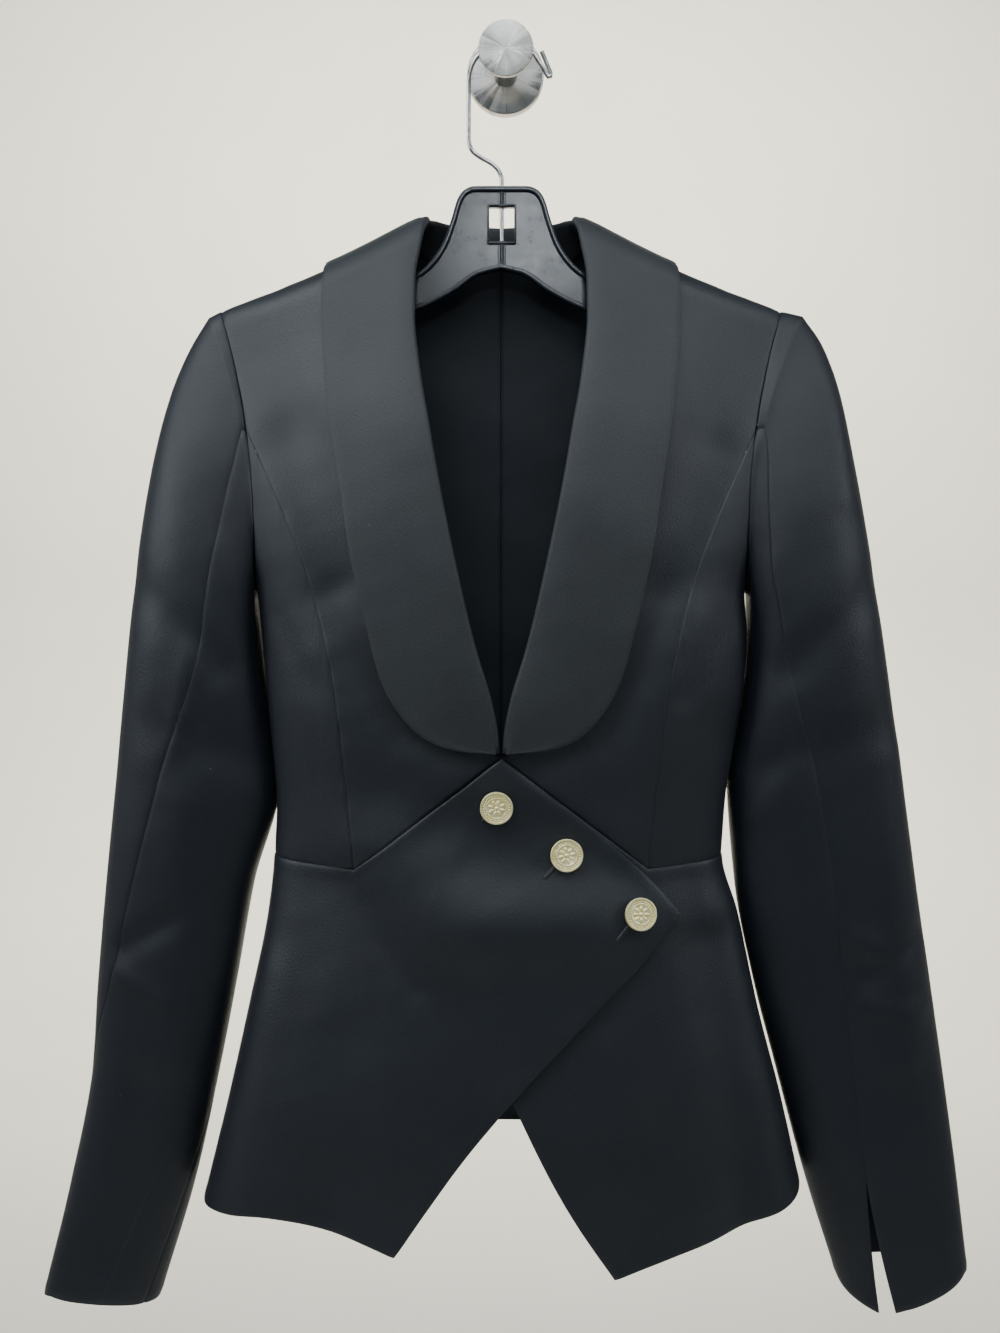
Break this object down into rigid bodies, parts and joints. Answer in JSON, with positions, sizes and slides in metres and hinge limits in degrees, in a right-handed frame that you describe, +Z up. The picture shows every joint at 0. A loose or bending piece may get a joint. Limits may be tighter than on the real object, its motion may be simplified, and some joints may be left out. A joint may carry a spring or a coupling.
{
  "type": "blazer on a hanger with its wall hook",
  "caption": "Fitted black blazer with a shawl collar, princess seams and an asymmetric buttoned peplum front, hung open-necked on a moulded hanger from a wall hook.",
  "frame": {"origin": "centre of the wall hook's back face, on the wall", "axes": "+X to the right of someone who faces the jacket's front, +Y into the wall, +Z up"},
  "size_m": [0.6359, 0.1109, 0.8491],
  "materials": {
    "suiting": "black satin-backed suiting with a soft sheen",
    "collar_suiting": "the same black suiting, interfaced",
    "button_gold": "pale gold with a low relief",
    "hanger_plastic": "glossy black moulded plastic",
    "hanger_wire": "plated steel wire",
    "hook_steel": "turned and brushed steel"
  },
  "bodies": {
    "root": {"front_left": "suiting", "front_right": "suiting", "side_left": "suiting", "side_right": "suiting", "back_left": "suiting", "back_right": "suiting", "collar_left": "collar_suiting", "collar_right": "collar_suiting", "collar_stand": "suiting", "peplum_wrap": "suiting", "peplum_under": "suiting", "peplum_back": "suiting", "sleeve_left_upper": "suiting", "sleeve_left_upper_forearm": "suiting", "sleeve_left_under": "suiting", "sleeve_left_under_forearm": "suiting", "sleeve_right_upper": "suiting", "sleeve_right_upper_forearm": "suiting", "sleeve_right_under": "suiting", "sleeve_right_under_forearm": "suiting", "button_1": "button_gold", "button_2": "button_gold", "button_3": "button_gold", "hanger_body": "hanger_plastic", "hanger_hook": "hanger_wire", "wall_hook": "hook_steel"}
  },
  "joints": []
}
